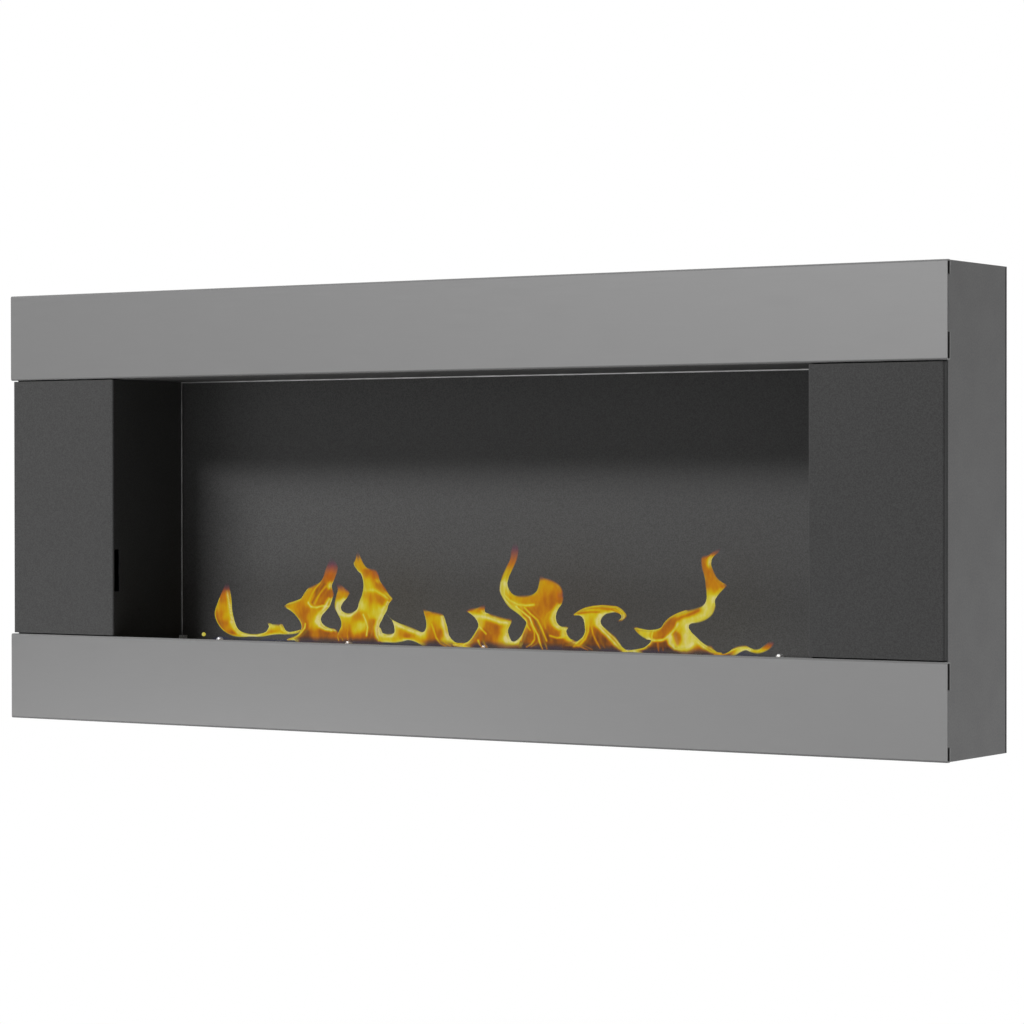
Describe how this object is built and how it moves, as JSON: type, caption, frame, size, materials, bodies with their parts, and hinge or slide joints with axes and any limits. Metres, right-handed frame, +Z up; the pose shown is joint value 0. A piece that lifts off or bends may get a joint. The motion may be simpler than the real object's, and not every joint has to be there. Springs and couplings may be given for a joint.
{
  "type": "bioethanol fireplace",
  "caption": "Wall-hung bioethanol fireplace: folded steel casing with metal bands above and below an open dark firebox, and a lift-out linear burner with a sliding flame shutter.",
  "frame": {"origin": "middle of the flat rear face, on the plane of the wall that the unit hangs on", "axes": "+X to the unit's own width (to the right when seen from the room), +Y into the wall, +Z up; the room and the viewer are on the -Y side"},
  "size_m": [1.1, 0.133, 0.45],
  "materials": {
    "grey_casing_paint": "satin grey powder coat on steel sheet",
    "satin_band_steel": "fine satin, almost without grain",
    "sand_black_paint": "matt black fine-sand powder coat",
    "stainless_steel": "brushed stainless steel sheet",
    "bright_chrome": "polished nickel-chrome plate",
    "zinc_plated_steel": "bright zinc plate",
    "ceramic_fibre": "matt white fibre blanket"
  },
  "bodies": {
    "casing": {"rear_panel": "grey_casing_paint", "left_side_panel": "grey_casing_paint", "right_side_panel": "grey_casing_paint", "top_panel": "grey_casing_paint", "bottom_panel": "grey_casing_paint", "left_hanger_plate": "zinc_plated_steel", "right_hanger_plate": "zinc_plated_steel", "left_shelf_prop": "zinc_plated_steel", "right_shelf_prop": "zinc_plated_steel", "top_band": "satin_band_steel", "bottom_band": "satin_band_steel", "left_column_panel": "sand_black_paint", "right_column_panel": "sand_black_paint", "firebox_back": "sand_black_paint", "firebox_ceiling": "sand_black_paint", "firebox_shelf": "sand_black_paint", "top_band_upper_screw_1": "zinc_plated_steel", "top_band_upper_screw_2": "zinc_plated_steel", "top_band_upper_screw_3": "zinc_plated_steel", "top_band_lower_screw_1": "zinc_plated_steel", "top_band_lower_screw_2": "zinc_plated_steel", "top_band_lower_screw_3": "zinc_plated_steel", "bottom_band_upper_screw_1": "zinc_plated_steel", "bottom_band_upper_screw_2": "zinc_plated_steel", "bottom_band_upper_screw_3": "zinc_plated_steel", "bottom_band_lower_screw_1": "zinc_plated_steel", "bottom_band_lower_screw_2": "zinc_plated_steel", "bottom_band_lower_screw_3": "zinc_plated_steel", "left_column_screw_1": "zinc_plated_steel", "left_column_screw_2": "zinc_plated_steel", "right_column_screw_1": "zinc_plated_steel", "right_column_screw_2": "zinc_plated_steel"},
    "burner": {"burner_tank": "stainless_steel", "burner_deck": "stainless_steel", "ceramic_fibre_pad": "ceramic_fibre", "fibre_gauze": "stainless_steel", "guide_stud_1": "stainless_steel", "guide_stud_2": "stainless_steel", "guide_stud_3": "stainless_steel", "guide_stud_4": "stainless_steel", "guide_stud_5": "stainless_steel", "guide_washer_1": "bright_chrome", "guide_washer_2": "bright_chrome", "guide_washer_3": "bright_chrome", "guide_washer_4": "bright_chrome", "guide_washer_5": "bright_chrome", "dome_nut_1": "bright_chrome", "dome_nut_2": "bright_chrome", "dome_nut_3": "bright_chrome", "dome_nut_4": "bright_chrome", "dome_nut_5": "bright_chrome"},
    "shutter": {"flame_shutter": "stainless_steel", "shutter_knob_left": "stainless_steel", "shutter_knob_right": "stainless_steel"}
  },
  "joints": [
    {"name": "burner_lift", "type": "slide", "parent": "casing", "child": "burner", "axis": [0, 0, 1], "range_m": [0, 0.08]},
    {"name": "shutter_slide", "type": "slide", "parent": "burner", "child": "shutter", "axis": [0, -1, 0], "range_m": [0, 0.021]}
  ]
}
